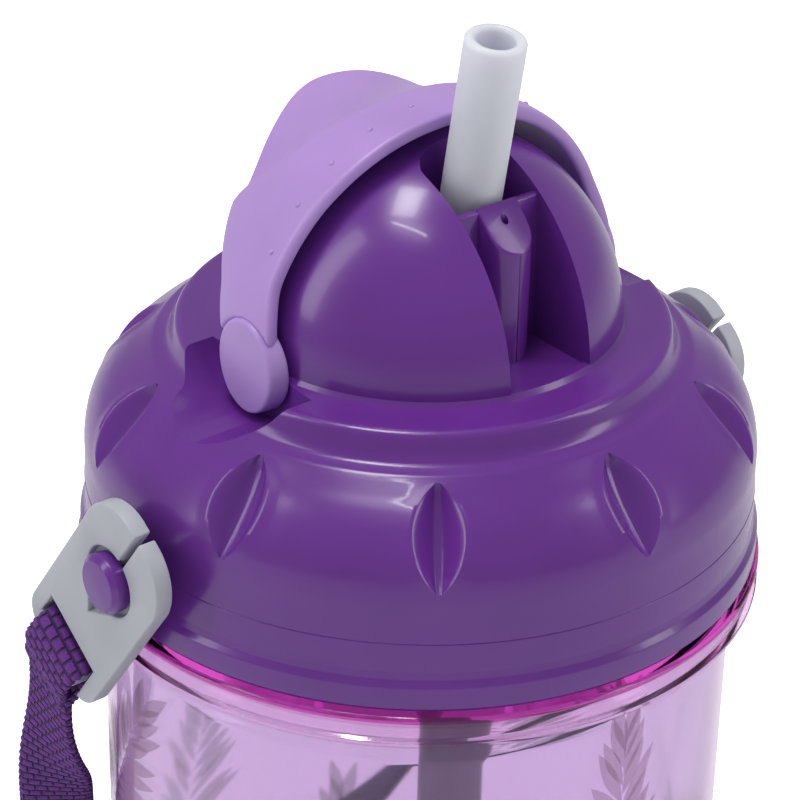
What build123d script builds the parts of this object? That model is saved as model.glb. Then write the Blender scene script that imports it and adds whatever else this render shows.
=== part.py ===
from build123d import *
import os
from math import cos, pi, radians, sin, sqrt, tan

# Child's drinking bottle with a screw cap, a fold-down straw, a swinging cover and a carrying strap.
# Millimetres. Z is up through the axis, the straw slot faces -Y and the strap pegs lie on the X axis.
# The origin is the middle of the base, on the surface that the bottle stands on.

# ---- driving dimensions -------------------------------------------------------------------------
rim_height = 112.0        # lower edge of the cap above the table
body_radius = 41.3
body_wall = 1.7
base_thickness = 2.4
flange_radius = 44.5
neck_radius = 38.6
neck_wall = 1.8
neck_top = rim_height + 14.0
thread_lead = 6.0
thread_height = 1.1       # how far each thread rib stands out of its wall
thread_root = 2.6

bead_radius = 44.0
skirt_radius = 43.1
seam_height = rim_height + 9.4
ledge_height = rim_height + 31.0
ledge_radius = 31.0
dome_radius = 25.2
dome_centre = rim_height + 30.8
shell_wall = 1.8
plate_height = rim_height + 17.0
plate_thickness = 2.0

slot_half_width = 6.3
bridge_front = -13.6
bridge_thickness = 1.1
bridge_top = rim_height + 50.8
vent_post_nose = -17.8
dimple_count = 10
scoop_radius = 10.6

pivot_height = rim_height + 32.0
visor_inner_radius = 26.3
visor_wall = 2.0
visor_front_angle = 83.0  # angles about the pivot, from straight ahead over the top
visor_rear_angle = 129.0
lip_flare = 5.0
boss_radius = 6.0
boss_face = 27.4
trunnion_radius = 2.0

straw_radius = 3.8
straw_bore = 2.5
straw_y = -7.95
straw_split = rim_height + 47.5
straw_lean = 9.6
straw_tip_height = rim_height + 72.0
tube_radius = 4.3
tube_wall = 0.8
valve_y = -19.0

peg_height = rim_height + 9.0
peg_radius = 2.5
peg_head_radius = 3.9
peg_shoulder = 47.55
peg_face = 49.9
clip_back = 45.9          # distance of the clip's back face from the middle of the bottle
clip_thickness = 2.4
clip_width = 16.2
clip_top = 10.9           # slit end, slot and bar end, measured from the peg
clip_slot = 15.0
clip_bar = 19.1
clip_bottom = 22.3
clip_hang = 36.0          # how far each clip hangs back from straight down

webbing_width = 10.0
webbing_thickness = 1.2
loop_end = 26.1           # distance from the peg where the sewn loop stops
cord_radius = 3.0         # plain round tube that stands for the free webbing

os.makedirs("parts", exist_ok=True)


def save(part, name):
    part.label = name
    export_step(part, f"parts/{name}.step")


# ---- bottle body: one clear moulding with a wide threaded neck -----------------------------------
with BuildPart() as bottle_body:
    with BuildSketch(Plane.XZ) as body_outline:
        with BuildLine():
            Polyline(
                (0, 1.5), (30, 1.5), (32, 0), (body_radius, 0), (body_radius, rim_height - 7),
                (flange_radius - 1.0, rim_height - 5.0), (flange_radius, rim_height - 4.4),
                (flange_radius, rim_height - 2.6), (flange_radius - 0.8, rim_height - 2.1),
                (flange_radius - 0.5, rim_height - 1.7), (flange_radius - 0.5, rim_height - 0.5),
                (neck_radius, rim_height - 0.5), (neck_radius, neck_top),
                (neck_radius - neck_wall, neck_top), (neck_radius - neck_wall, rim_height - 3),
                (body_radius - body_wall, rim_height - 10),
                (body_radius - body_wall, base_thickness + 1.5), (0, base_thickness + 1.5), close=True,
            )
        make_face()
        corner = body_outline.vertices().group_by(Axis.Y)[0].sort_by(Axis.X)[-1]
        fillet(corner, 5)
        inner_corner = [
            v for v in body_outline.vertices()
            if abs(v.X - body_radius + body_wall) < 0.01 and v.Y < 10
        ]
        fillet(inner_corner, 4)
    revolve(axis=Axis.Z)
    with BuildLine() as neck_helix:
        Helix(pitch=thread_lead, height=7.2, radius=neck_radius - 0.15, center=(0, 0, rim_height + 2.6))
    start = Plane(origin=neck_helix.line @ 0, x_dir=(1, 0, 0), z_dir=neck_helix.line % 0)
    with BuildSketch(start):
        Trapezoid(thread_root, thread_height + 0.15, 60, align=(Align.CENTER, Align.MIN), rotation=-90)
    sweep(path=neck_helix.line, is_frenet=True)
save(bottle_body.part, "bottle_body")

# ---- sealing ring: lies between the neck and the cap's inner plate --------------------------------
with BuildPart() as sealing_ring:
    with BuildSketch(Plane.XY.offset(neck_top + 0.1)):
        Circle(37.6)
        Circle(34.8, mode=Mode.SUBTRACT)
    extrude(amount=plate_height - neck_top - 0.2)
    fillet(sealing_ring.edges().filter_by(GeomType.CIRCLE), 0.5)
save(sealing_ring.part, "sealing_ring")

# ---- cap collar: bead, threaded sleeve and the inner plate that carries the straw -----------------
sleeve_inner = neck_radius + thread_height + 0.4
sleeve_outer = skirt_radius - shell_wall - 0.05

with BuildPart() as cap_collar:
    with BuildSketch(Plane.XZ) as collar_outline:
        with BuildLine():
            Polyline(
                (sleeve_inner, rim_height), (bead_radius, rim_height), (bead_radius, rim_height + 4.0),
                (skirt_radius + 0.3, rim_height + 4.5), (skirt_radius + 0.2, seam_height),
                (sleeve_outer, seam_height), (sleeve_outer, rim_height + 14.8), (39.4, plate_height),
                (36.9, plate_height + plate_thickness), (0, plate_height + plate_thickness),
                (0, plate_height), (37.9, plate_height), (sleeve_inner, rim_height + 14.4), close=True,
            )
        make_face()
        bead = [v for v in collar_outline.vertices() if abs(v.X - bead_radius) < 0.01]
        fillet(bead, 1.3)
    revolve(axis=Axis.Z)
    rib_start = rim_height + 1.6
    rib_turn = 360 * (rib_start - (rim_height + 2.6) + thread_lead / 2) / thread_lead
    rib_plane = Plane(origin=(0, 0, rib_start), x_dir=(cos(radians(rib_turn)), sin(radians(rib_turn)), 0))
    with BuildLine(rib_plane) as collar_helix:
        Helix(pitch=thread_lead, height=7.2, radius=sleeve_inner + 0.15)
    start = Plane(origin=collar_helix.line @ 0, x_dir=rib_plane.x_dir, z_dir=collar_helix.line % 0)
    with BuildSketch(start):
        Trapezoid(thread_root, thread_height + 0.15, 60, align=(Align.CENTER, Align.MIN), rotation=90)
    sweep(path=collar_helix.line, is_frenet=True)
    with BuildSketch(Plane.XY.offset(plate_height)):
        with Locations((0, straw_y)):
            Circle(straw_radius)
        with Locations((0, valve_y)):
            Circle(1.25)
    extrude(amount=plate_thickness, mode=Mode.SUBTRACT)
    for side in (-1, 1):
        with BuildSketch(Plane.YZ.offset(side * 41.5)):
            with Locations((0, peg_height)):
                Circle(peg_radius)
        extrude(amount=side * 8, mode=Mode.SUBTRACT)
save(cap_collar.part, "cap_collar")

# ---- cap shell: stepped shoulder, dome, straw slot and the ten leaf-shaped finger grips -----------
step_foot = (32.4, rim_height + 27.6)
shoulder_edge = (34.3, rim_height + 27.2)
grip_low = (skirt_radius, rim_height + 16.6)
grip_high = (35.0, rim_height + 26.7)

with BuildPart() as slot_block:
    # walls and floor of the straw slot, as tall as the dome lets them be
    with BuildSketch(Plane.XY.offset(ledge_height - shell_wall)):
        with Locations((0, -dome_radius / 2 - 0.8)):
            Rectangle(2 * (slot_half_width + shell_wall), dome_radius - 1.6)
    extrude(amount=dome_radius)
    with Locations((0, 0, dome_centre)):
        Sphere(dome_radius - 0.4, mode=Mode.INTERSECT)

with BuildPart() as grip_cutter:
    # a lens whose sharp edge cuts the keel of one grip, lying in the plane through the bottle's axis
    chord = sqrt((grip_low[0] - grip_high[0]) ** 2 + (grip_low[1] - grip_high[1]) ** 2)
    keel_drop = 0.8
    keel_radius = (chord**2 / 4 + keel_drop**2) / (2 * keel_drop)
    lens_offset = keel_radius / 1.6
    lens_radius = sqrt(keel_radius**2 + lens_offset**2)
    out_x = (grip_high[1] - grip_low[1]) / chord
    out_z = (grip_low[0] - grip_high[0]) / chord
    reach = keel_radius - keel_drop
    lens_x = (grip_low[0] + grip_high[0]) / 2 + out_x * reach
    lens_z = (grip_low[1] + grip_high[1]) / 2 + out_z * reach
    with Locations((lens_x, lens_offset, lens_z)):
        Sphere(lens_radius)
    with Locations((lens_x, -lens_offset, lens_z)):
        Sphere(lens_radius, mode=Mode.INTERSECT)

with BuildPart() as scoop_floor:
    # thickens the shoulder from below where the scoops for the cover's arms are cut
    with BuildSketch(Plane.XZ):
        with BuildLine():
            Polyline(
                (23.6, rim_height + 23.8), (36.8, rim_height + 23.8), (36.4, rim_height + 25.0),
                (34.0, rim_height + 26.8), (32.2, rim_height + 27.2), (30.8, ledge_height - 0.2),
                (23.6, ledge_height - 0.2), close=True,
            )
        make_face()
    revolve(axis=Axis.Z)
    with Locations(Location((0, 0, rim_height + 36.2), (0, 90, 0))):
        Cylinder(scoop_radius + 1.8, 80, mode=Mode.INTERSECT)

with BuildPart() as cap_shell:
    with BuildSketch(Plane.XZ) as shell_outline:
        with BuildLine():
            skirt = Line((skirt_radius + 0.15, seam_height + 0.02), (skirt_radius, rim_height + 15.5))
            shoulder = Spline(
                (skirt_radius, rim_height + 15.5), (41.7, rim_height + 20.3), (38.4, rim_height + 23.9),
                shoulder_edge, tangents=[(0, 1), (-1.6, 1)],
            )
            groove = Line(shoulder_edge, step_foot)
            cove = ThreePointArc(step_foot, (31.7, rim_height + 28.9), (ledge_radius, ledge_height))
            ledge = Line((ledge_radius, ledge_height), (0, ledge_height))
            Line((0, ledge_height), (0, ledge_height - shell_wall))
            Line((0, ledge_height - shell_wall), (28.0, ledge_height - shell_wall))
            Line((28.0, ledge_height - shell_wall), (29.6, rim_height + 24.2))
            Spline(
                (29.6, rim_height + 24.2), (37.4, rim_height + 19.6),
                (skirt_radius - shell_wall, rim_height + 15.2), tangents=[(1.6, -1), (0.3, -1)],
            )
            Line((skirt_radius - shell_wall, rim_height + 15.2), (skirt_radius - shell_wall, seam_height + 0.02))
            Line((skirt_radius - shell_wall, seam_height + 0.02), (skirt_radius + 0.15, seam_height + 0.02))
        make_face()
    revolve(axis=Axis.Z)
    with PolarLocations(0, dimple_count, start_angle=-90):
        add(grip_cutter.part, mode=Mode.SUBTRACT)
    add(scoop_floor.part)
    # the dome, hollow from below and standing on the ledge
    with BuildSketch(Plane.XZ):
        with Locations((0, dome_centre)):
            Circle(dome_radius)
        with Locations((0, dome_centre)):
            Circle(dome_radius - shell_wall, mode=Mode.SUBTRACT)
        with Locations((0, ledge_height + 0.5 - shell_wall)):
            Rectangle(80, 100, align=(Align.MIN, Align.MIN), mode=Mode.INTERSECT)
    revolve(axis=Axis.Z)
    with BuildSketch(Plane.XY.offset(ledge_height - shell_wall - 0.1)):
        Circle(dome_radius - shell_wall - 0.6)
    extrude(amount=shell_wall + 0.2, mode=Mode.SUBTRACT)
    add(slot_block.part)
    # the slot: open to the front, with a round end that the straw stands in
    with BuildSketch(Plane.XY.offset(ledge_height)):
        with Locations((0, -8.5)):
            Rectangle(2 * slot_half_width, 40, align=(Align.CENTER, Align.MAX))
            Ellipse(slot_half_width, 5.3)
    extrude(amount=40, mode=Mode.SUBTRACT)
    # bridge across the slot and the hollow vent post in front of it
    with BuildSketch(Plane.XY.offset(ledge_height - 0.2)):
        with Locations((0, bridge_front)):
            Rectangle(2 * slot_half_width + 0.4, bridge_thickness, align=(Align.CENTER, Align.MIN))
    extrude(amount=bridge_top - ledge_height + 0.2)
    with BuildSketch(Plane.YZ):
        with BuildLine():
            Polyline(
                (bridge_front + 0.2, ledge_height - 0.2), (vent_post_nose, ledge_height - 0.2),
                (vent_post_nose, rim_height + 46), (bridge_front + 0.2, bridge_top - 0.2), close=True,
            )
        make_face()
    extrude(amount=3.0, both=True)
    nose = cap_shell.edges().filter_by(Axis.Z).filter_by(
        lambda e: abs(e.center().Y - vent_post_nose) < 0.01 and abs(abs(e.center().X) - 3.0) < 0.01
    )
    fillet(nose, 2.4)
    with Locations((0, -15.2, rim_height + 40)):
        Cylinder(0.6, 60, mode=Mode.SUBTRACT)
    # hole for the straw, the two trunnion holes, and the scoops around the cover's arms
    with Locations((0, straw_y, ledge_height)):
        Cylinder(straw_radius + 0.05, 10, mode=Mode.SUBTRACT)
    for side in (-1, 1):
        with BuildSketch(Plane.YZ.offset(side * (dome_radius + 0.2))):
            with Locations((0, rim_height + 36.2)):
                Circle(scoop_radius)
        extrude(amount=side * 14, mode=Mode.SUBTRACT)
        with BuildSketch(Plane.YZ.offset(side * 22)):
            with Locations((0, pivot_height)):
                Circle(trunnion_radius + 0.06)
        extrude(amount=side * 8, mode=Mode.SUBTRACT)
        # seat for the strap peg
        with BuildSketch(Plane.YZ.offset(side * 41.5)):
            with Locations((0, peg_height)):
                Circle(peg_radius)
        extrude(amount=side * 8, mode=Mode.SUBTRACT)
save(cap_shell.part, "cap_shell")

# ---- straw: soft lower sleeve, soft drinking tip and the hard tube that reaches the base ----------
with BuildPart() as straw_base:
    with BuildSketch(Plane.XY.offset(plate_height - 12)):
        with Locations((0, straw_y)):
            Circle(tube_radius - tube_wall)
    extrude(amount=12)
    with BuildSketch(Plane.XY.offset(plate_height - 1.6)):
        with Locations((0, straw_y)):
            Circle(6.5)
    extrude(amount=1.6)
    with BuildSketch(Plane.XY.offset(plate_height)):
        with Locations((0, straw_y)):
            Circle(straw_radius)
    extrude(amount=straw_split - plate_height)
    with BuildSketch(Plane.XY.offset(plate_height - 12)):
        with Locations((0, straw_y)):
            Circle(straw_bore)
    extrude(amount=80, mode=Mode.SUBTRACT)
save(straw_base.part, "straw_base")

with BuildPart() as straw_tip:
    tip_base = Vector(0, straw_y, straw_split + 0.2)
    tip_length = (straw_tip_height - straw_split) / cos(radians(straw_lean))
    tip_plane = Plane(origin=tip_base, x_dir=(1, 0, 0), z_dir=(0, -sin(radians(straw_lean)), cos(radians(straw_lean))))
    with BuildSketch(tip_plane.offset(0.8)):
        Circle(straw_radius)
    extrude(amount=tip_length - 0.8)
    fillet(straw_tip.edges().sort_by(Axis.Z)[-1], 1.0)
    with BuildSketch(tip_plane):
        Circle(straw_bore)
    extrude(amount=tip_length + 2, mode=Mode.SUBTRACT)
save(straw_tip.part, "straw_tip")

with BuildPart() as straw_tube:
    with BuildSketch(Plane.XY.offset(9)):
        with Locations((0, straw_y)):
            Circle(tube_radius)
            Circle(tube_radius - tube_wall, mode=Mode.SUBTRACT)
    extrude(amount=plate_height - 1.8 - 9)
save(straw_tube.part, "straw_tube")

with BuildPart() as vent_valve:
    with BuildSketch(Plane.XY.offset(plate_height - 1.1)):
        with Locations((0, valve_y)):
            Circle(3.2)
    extrude(amount=1.1)
    with BuildSketch(Plane.XY.offset(plate_height)):
        with Locations((0, valve_y)):
            Circle(1.25)
    extrude(amount=plate_thickness)
    with BuildSketch(Plane.XY.offset(plate_height + plate_thickness)):
        with Locations((0, valve_y)):
            Circle(2.0)
    extrude(amount=1.0)
save(vent_valve.part, "vent_valve")

# ---- swinging cover: a band of the sphere about the pivot, with a thumb lip flared off its back ----
visor_outer_radius = visor_inner_radius + visor_wall
pivot = Vector(0, 0, pivot_height)


def spoke(angle, length):
    return (-length * cos(radians(angle)), pivot_height + length * sin(radians(angle)))


with BuildPart() as lip:
    with BuildSketch(Plane.XZ.offset(-21.0)):
        with Locations((0, rim_height + 35)):
            Circle(21.5)
    with BuildSketch(Plane.XZ.offset(-5.0)):
        with Locations((0, rim_height + 35)):
            Circle(24.7)
    loft()
    with BuildSketch(Plane.XZ.offset(-21.0)):
        with Locations((0, rim_height + 35)):
            Circle(19.8)
    with BuildSketch(Plane.XZ.offset(-5.0)):
        with Locations((0, rim_height + 35)):
            Circle(23.0)
    loft(mode=Mode.SUBTRACT)
    with BuildSketch(Plane.XY.offset(rim_height + 42)):
        with BuildLine():
            rear = ThreePointArc((-18.6, 12.8), (0, 21.0), (18.6, 12.8))
            Polyline((18.6, 12.8), (18.6, 6.4), (-18.6, 6.4), (-18.6, 12.8))
        make_face()
    extrude(amount=20, mode=Mode.INTERSECT)
    with Locations(pivot):
        Sphere(visor_inner_radius + 0.3, mode=Mode.SUBTRACT)

with BuildPart() as visor:
    with Locations(pivot):
        Sphere(visor_outer_radius)
        Sphere(visor_inner_radius, mode=Mode.SUBTRACT)
    with BuildSketch(Plane.YZ):
        with BuildLine():
            Polyline(
                (0, pivot_height), spoke(visor_front_angle, 40),
                spoke((visor_front_angle + visor_rear_angle) / 2, 44), spoke(visor_rear_angle, 40), close=True,
            )
        make_face()
    extrude(amount=25.9, both=True, mode=Mode.INTERSECT)
    # room under the lip for the bend of the folded straw
    with BuildSketch(Plane.XY.offset(rim_height + 46)):
        with Locations((0, 9.5)):
            Rectangle(15, 30, align=(Align.CENTER, Align.MIN))
    extrude(amount=20, mode=Mode.SUBTRACT)
    add(lip.part)
    for side in (-1, 1):
        with BuildSketch(Plane.YZ.offset(side * 25.9)):
            with Locations((0, pivot_height)):
                Circle(boss_radius)
        extrude(amount=side * (boss_face - 25.9))
        with BuildSketch(Plane.YZ.offset(side * 23.6)):
            with Locations((0, pivot_height)):
                Circle(trunnion_radius)
        extrude(amount=side * 2.4)
save(visor.part, "visor")

# ---- strap pegs, clips and the loops sewn through the clips ---------------------------------------
side_names = {-1: "left", 1: "right"}


def clip_plane(side, offset):
    u_axis = (0, sin(radians(clip_hang)), -cos(radians(clip_hang)))
    return Plane(origin=(side * offset, 0, peg_height), x_dir=u_axis, z_dir=(side, 0, 0))


for side, side_name in side_names.items():
    with BuildPart() as peg:
        with BuildSketch(clip_plane(side, 41.6)):
            Circle(peg_radius)
        extrude(amount=peg_shoulder - 41.6)
        with BuildSketch(clip_plane(side, peg_shoulder)):
            Circle(peg_head_radius)
        extrude(amount=peg_face - peg_shoulder)
        head_edge = peg.edges().filter_by(GeomType.CIRCLE).sort_by(Axis.X)[-1 if side > 0 else 0]
        chamfer(head_edge, 0.7)
    save(peg.part, f"peg_{side_name}")

    with BuildPart() as clip:
        with BuildSketch(clip_plane(side, clip_back)) as clip_outline:
            with Locations(((clip_bottom - clip_top) / 2, 0)):
                Rectangle(clip_bottom + clip_top, clip_width)
            fillet(clip_outline.vertices().group_by(Axis.X)[0], 6.6)
            fillet(clip_outline.vertices().group_by(Axis.X)[-1], 3.5)
            # hole for the peg, drawn out to a point, and the slit that lets the clip spring over it
            Circle(peg_radius + 0.08, mode=Mode.SUBTRACT)
            with Locations((-clip_top / 2 - 1, 0)):
                Rectangle(clip_top, 1.0, mode=Mode.SUBTRACT)
            with BuildLine():
                Polyline((1.0, -2.3), (7.0, 0), (1.0, 2.3), close=True)
            make_face(mode=Mode.SUBTRACT)
            # slot for the webbing, and the gap that makes its bar a hook
            with Locations(((clip_slot + clip_bar) / 2, 0)):
                Rectangle(clip_bar - clip_slot, 11.2, mode=Mode.SUBTRACT)
            with Locations((clip_bottom, -side * 5.0)):
                Rectangle(2 * (clip_bottom - clip_bar) + 1, 1.2, mode=Mode.SUBTRACT)
        extrude(amount=clip_thickness)
        with BuildSketch(clip_plane(side, clip_back + 1.3)):
            Circle(4.6)
            with BuildLine():
                Polyline((1.5, -4.2), (8.6, 0), (1.5, 4.2), close=True)
            make_face()
        extrude(amount=clip_thickness, mode=Mode.SUBTRACT)
    save(clip.part, f"clip_{side_name}")

    with BuildPart() as strap_loop:
        loop_plane = Plane(
            origin=(0, 0, peg_height),
            x_dir=(0, sin(radians(clip_hang)), -cos(radians(clip_hang))),
            z_dir=(0, -side * cos(radians(clip_hang)), -side * sin(radians(clip_hang))),
        )
        back = clip_back - 0.1
        face = clip_back + clip_thickness + 0.1
        middle = (back + face) / 2
        with BuildSketch(loop_plane):
            with BuildLine():
                Polyline(
                    (clip_bar - 1.6, back - 0.7), (clip_bar - 1.6, face + 0.9), (clip_bottom + 0.6, face + 0.9),
                    (loop_end, middle + 1.5), (loop_end, middle - 1.5), (clip_bottom + 0.6, back - 0.7), close=True,
                )
            make_face()
            with BuildLine():
                Polyline(
                    (clip_bar - 0.3, back), (clip_bar - 0.3, face), (clip_bottom + 0.3, face),
                    (loop_end - 0.8, middle), (clip_bottom + 0.3, back), close=True,
                )
            make_face(mode=Mode.SUBTRACT)
        extrude(amount=webbing_width / 2, both=True)
    save(strap_loop.part, f"strap_loop_{side_name}")

# ---- strap: both ends drop behind the bottle and its middle lies in one loose loop on the table ----
strap_points = [
    (-47, 16.5, 98.4), (-45.6, 19.2, 88), (-42.4, 24, 76), (-38, 31, 60), (-33, 40, 43), (-28, 50, 26),
    (-25, 62, 11.5), (-31, 77, 5.0), (-44, 92, 3.3), (-58, 108, 3.3), (-66, 126, 3.3), (-62, 144, 3.3),
    (-46, 151, 3.3), (-31, 141, 3.3), (-25, 122, 3.3), (-20, 103, 3.3), (-8, 86, 3.3), (10, 73, 4.6),
    (24, 60, 12), (29, 49, 26), (34, 39, 43), (38.6, 30.4, 60), (42.4, 24, 76), (45.6, 19.2, 88), (47, 16.5, 98.4),
]


def corner_radii(points):
    radii = []
    for before, here, after in zip(points, points[1:], points[2:]):
        run_in = Vector(*here) - Vector(*before)
        run_out = Vector(*after) - Vector(*here)
        turn = run_in.get_angle(run_out)
        radii.append(0.45 * min(run_in.length, run_out.length) / tan(radians(turn / 2)))
    return radii


strap_radii = corner_radii(strap_points)
with BuildPart() as strap:
    with BuildLine() as strap_path:
        FilletPolyline(*strap_points, radius=strap_radii)
    with BuildSketch(Plane(origin=strap_path.line @ 0, z_dir=strap_path.line % 0)):
        Circle(cord_radius)
    sweep(path=strap_path.line)
save(strap.part, "strap")
strap_length = sum(edge.length for edge in strap_path.edges())
print("strap length", round(strap_length, 1), "radii", [round(radius, 1) for radius in strap_radii])
print("strap volume against its section", round(strap.part.volume / (pi * cord_radius**2 * strap_length), 3))
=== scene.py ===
# %% [markdown]
# # A child's straw bottle
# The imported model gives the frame: every body, node and joint is already in its place, in metres.
# This script gives each piece its looks: moulded plastic, soft silicone, woven webbing and a clear
# tinted body. Lengths below are written in millimetres and turned into metres where a mesh is made.

from math import acos, ceil, cos, pi, radians, sin

import bmesh
import bpy
import numpy as np
from mathutils import Matrix, Vector


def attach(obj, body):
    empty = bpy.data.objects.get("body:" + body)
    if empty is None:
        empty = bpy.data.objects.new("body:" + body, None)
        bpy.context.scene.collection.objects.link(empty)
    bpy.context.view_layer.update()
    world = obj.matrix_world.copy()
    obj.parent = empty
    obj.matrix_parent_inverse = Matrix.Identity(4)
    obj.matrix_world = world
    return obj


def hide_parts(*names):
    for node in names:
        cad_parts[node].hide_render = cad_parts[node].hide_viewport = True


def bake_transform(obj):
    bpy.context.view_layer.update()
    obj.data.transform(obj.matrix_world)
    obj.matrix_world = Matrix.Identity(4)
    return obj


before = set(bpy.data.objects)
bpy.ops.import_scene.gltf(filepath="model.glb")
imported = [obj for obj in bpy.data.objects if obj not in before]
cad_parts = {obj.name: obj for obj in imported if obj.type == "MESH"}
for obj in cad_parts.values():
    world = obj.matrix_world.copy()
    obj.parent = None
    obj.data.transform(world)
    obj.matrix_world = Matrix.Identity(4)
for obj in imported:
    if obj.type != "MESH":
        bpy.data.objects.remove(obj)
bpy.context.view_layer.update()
MM = 0.001

# %% [markdown]
# ## The camera
# The bottle is seen from above, 39.5 degrees round from its front and with a long lens, so its
# sides stay nearly parallel. The camera looks at the cap: the lower body is outside the view.

# %% Camera
RIM = 112.0  # height of the cap's lower edge above the table, in millimetres


def aim_camera(place, heading, pitch, roll, lens):
    forward = Vector((sin(heading) * cos(pitch), cos(heading) * cos(pitch), -sin(pitch)))
    level = forward.cross(Vector((0, 0, 1))).normalized()
    upright = level.cross(forward)
    right = level * cos(roll) + upright * sin(roll)
    up = upright * cos(roll) - level * sin(roll)
    camera = bpy.data.objects.new("camera", bpy.data.cameras.new("camera"))
    bpy.context.collection.objects.link(camera)
    camera.data.lens = lens
    camera.data.clip_start = 0.01
    turn = Matrix((right, up, -forward)).transposed()
    camera.matrix_world = Matrix.Translation(place) @ turn.to_4x4()
    bpy.context.scene.camera = camera
    return camera


camera_place = Vector((-213.9, -259.5, 204.5 + RIM)) * MM
aim_camera(camera_place, radians(39.03), radians(29.0), radians(1.22), 135)
print("camera at", tuple(round(v, 3) for v in camera_place))

# %% [markdown]
# ## Small helpers for meshes
# Most pieces are grids of points: a ring of rows and columns that can close on itself. One helper
# turns such a grid into a mesh, and one puts a finished mesh in the scene, smooth shaded.


# %% Helpers for meshes
def add_object(name, mesh, material=None, smooth_angle=None):
    for polygon in mesh.polygons:
        polygon.use_smooth = True
    if smooth_angle is not None:
        mesh.set_sharp_from_angle(angle=radians(smooth_angle))
    piece = bpy.data.objects.new(name, mesh)
    bpy.context.collection.objects.link(piece)
    if material is not None:
        mesh.materials.clear()
        mesh.materials.append(material)
    return piece


def baked(holder, *extras):
    """The mesh that an object's modifiers make; the object and its helpers are then removed."""
    bpy.context.view_layer.update()
    mesh = bpy.data.meshes.new_from_object(holder.evaluated_get(bpy.context.evaluated_depsgraph_get()))
    for item in (holder, *extras):
        bpy.data.objects.remove(item)
    return mesh


def grid_faces(rows, columns, wrap_rows=False, wrap_columns=False):
    row_count = rows if wrap_rows else rows - 1
    column_count = columns if wrap_columns else columns - 1
    i, j = np.meshgrid(np.arange(row_count), np.arange(column_count), indexing="ij")
    i2, j2 = (i + 1) % rows, (j + 1) % columns
    corners = (i * columns + j, i * columns + j2, i2 * columns + j2, i2 * columns + j)
    return np.stack(corners, axis=-1).reshape(-1, 4).tolist()


def mesh_from(name, points, faces):
    mesh = bpy.data.meshes.new(name)
    mesh.from_pydata((np.asarray(points, float).reshape(-1, 3) * MM).tolist(), [], faces)
    mesh.validate()
    return mesh


def face_outwards(mesh):
    """Merge doubles, then turn every face of a closed mesh to the outside."""
    work = bmesh.new()
    work.from_mesh(mesh)
    bmesh.ops.remove_doubles(work, verts=work.verts, dist=1e-7)
    bmesh.ops.recalc_face_normals(work, faces=work.faces)
    work.to_mesh(mesh)
    work.free()
    return mesh


def smooth_line(points, steps=6):
    """A curve through all the points, with rounded corners between them."""
    points = [np.asarray(p, float) for p in points]
    padded = [2 * points[0] - points[1]] + points + [2 * points[-1] - points[-2]]
    line = []
    for a, b, c, d in zip(padded, padded[1:], padded[2:], padded[3:]):
        for t in np.linspace(0, 1, steps, endpoint=False):
            line.append(0.5 * (2 * b + (c - a) * t + (2 * a - 5 * b + 4 * c - d) * t**2
                               + (3 * b - a - 3 * c + d) * t**3))
    line.append(points[-1])
    return np.array(line)


def fillet_corners(points, radii, steps=5):
    """A closed or open outline whose corners are rounded with arcs of the given radii."""
    out = [np.asarray(points[0], float)]
    for before, here, after, radius in zip(points, points[1:], points[2:], radii):
        before, here, after = (np.asarray(p, float) for p in (before, here, after))
        to_before = (before - here) / np.linalg.norm(before - here)
        to_after = (after - here) / np.linalg.norm(after - here)
        half = acos(float(np.clip(to_before @ to_after, -1, 1))) / 2
        reach = radius / max(np.tan(half), 1e-6)
        start, end = here + to_before * reach, here + to_after * reach
        if radius == 0:
            out.append(here)
            continue
        for t in np.linspace(0, 1, steps + 1):
            out.append((1 - t) ** 2 * start + 2 * t * (1 - t) * here + t**2 * end)
    out.append(np.asarray(points[-1], float))
    return np.array(out)


def lathe(name, outline, columns=192, closed=True):
    """Turn an outline of (radius, height) about the bottle's axis."""
    angles = np.linspace(0, 2 * pi, columns, endpoint=False)
    outline = np.asarray(outline, float)
    points = np.empty((len(outline), columns, 3))
    points[..., 0] = outline[:, None, 0] * np.cos(angles)
    points[..., 1] = outline[:, None, 0] * np.sin(angles)
    points[..., 2] = outline[:, None, 1]
    mesh = mesh_from(name, points, grid_faces(len(outline), columns, closed, True))
    return face_outwards(mesh)


print("helpers ready")

# %% [markdown]
# ## Finishes
# Moulded plastic is one Principled shader with a soft clear reflection. The faint mould grain is
# shared by several finishes, so it is a node group. Colours are linear values.


# %% Node groups
def set_inputs(node, values):
    for label, value in values.items():
        node.inputs[label].default_value = value


def new_group(name, inputs, outputs):
    group = bpy.data.node_groups.new(name, "ShaderNodeTree")
    for label, kind, value in inputs:
        socket = group.interface.new_socket(label, in_out="INPUT", socket_type=kind)
        socket.default_value = value
    for label, kind in outputs:
        group.interface.new_socket(label, in_out="OUTPUT", socket_type=kind)
    return group, group.nodes.new("NodeGroupInput"), group.nodes.new("NodeGroupOutput")


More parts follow.
